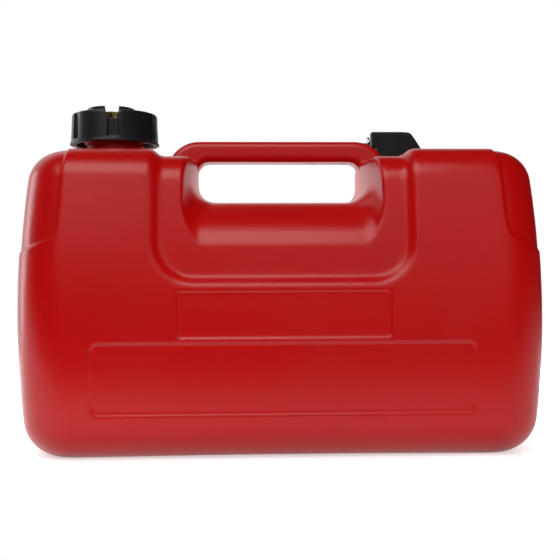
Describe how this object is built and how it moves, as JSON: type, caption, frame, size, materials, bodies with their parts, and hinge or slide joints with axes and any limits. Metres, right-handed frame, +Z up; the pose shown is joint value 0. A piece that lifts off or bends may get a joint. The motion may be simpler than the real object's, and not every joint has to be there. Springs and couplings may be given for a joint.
{
  "type": "outboard fuel tank",
  "caption": "Portable moulded fuel tank with an integral carrying handle, a screw filler cap with a vent screw, and a fuel pickup with a float level gauge under a hood.",
  "frame": {"origin": "middle of the tank's base, on the surface it stands on", "axes": "+X along the tank towards the pickup, +Y to the back, away from the face with two sunk panels, +Z up"},
  "size_m": [0.396, 0.19, 0.2695],
  "materials": {
    "shell_red": "satin moulded polyethylene",
    "black_plastic": "satin moulded plastic",
    "white_plastic": "plain moulded plastic",
    "black_rubber": "matt",
    "brass_parts": "turned",
    "nickel_parts": "nickel plated",
    "steel_parts": "zinc plated",
    "clear_plastic": "clear",
    "float_foam": "closed-cell foam"
  },
  "bodies": {
    "tank": {"tank_shell": "shell_red", "flange_inserts": "brass_parts", "cap_gasket": "black_rubber", "flange_gasket": "black_rubber", "pickup_flange": "black_plastic", "flange_screws": "steel_parts", "float_guide": "white_plastic", "guide_foot": "white_plastic", "pickup_tube": "white_plastic", "pickup_strainer": "white_plastic", "outlet_connector": "nickel_parts", "outlet_seal": "black_rubber", "spring_seat": "brass_parts", "valve_spring": "steel_parts", "gauge_hood": "black_plastic", "gauge_lens": "clear_plastic", "hood_screws": "steel_parts"},
    "cap_rise": {"cap_liner": "white_plastic"},
    "cap": {"filler_cap": "black_plastic", "vent_bush": "brass_parts"},
    "vent_rise": {"vent_seal": "black_rubber"},
    "vent": {"vent_screw": "brass_parts"},
    "float": {"gauge_float": "float_foam"},
    "gauge": {"gauge_spindle": "brass_parts", "spindle_clip": "steel_parts", "gauge_dial": "white_plastic"},
    "valve": {"valve_pin": "brass_parts"}
  },
  "joints": [
    {"name": "cap_lift", "type": "slide", "parent": "tank", "child": "cap_rise", "axis": [0, 0, 1], "range_m": [0, 0.012]},
    {"name": "cap_turn", "type": "hinge", "parent": "cap_rise", "child": "cap", "pos_m": [-0.132, 0, 0.25], "axis": [0, 0, 1], "range_deg": [0, 720]},
    {"name": "vent_lift", "type": "slide", "parent": "cap", "child": "vent_rise", "axis": [0, 0, 1], "range_m": [0, 0.0016]},
    {"name": "vent_turn", "type": "hinge", "parent": "vent_rise", "child": "vent", "pos_m": [-0.13477, -0.00044, 0.262], "axis": [0, 0, 1], "range_deg": [0, 720]},
    {"name": "float_rise", "type": "slide", "parent": "tank", "child": "float", "axis": [0, 0, 1], "range_m": [0, 0.165]},
    {"name": "gauge_turn", "type": "hinge", "parent": "tank", "child": "gauge", "pos_m": [0.0904, 0.036, 0.23], "axis": [0, 0, 1], "range_deg": [0, 56]},
    {"name": "valve_push", "type": "slide", "parent": "tank", "child": "valve", "axis": [1, 0, 0], "range_m": [0, 0.0025], "stiffness_N_per_m": 400, "deforming": ["valve_spring"]}
  ],
  "couplings": [
    {"joint": "cap_turn", "follows": "cap_lift", "rad_per_m": 1047.2},
    {"joint": "vent_turn", "follows": "vent_lift", "rad_per_m": 7854},
    {"joint": "gauge_turn", "follows": "float_rise", "rad_per_m": 5.9235}
  ]
}
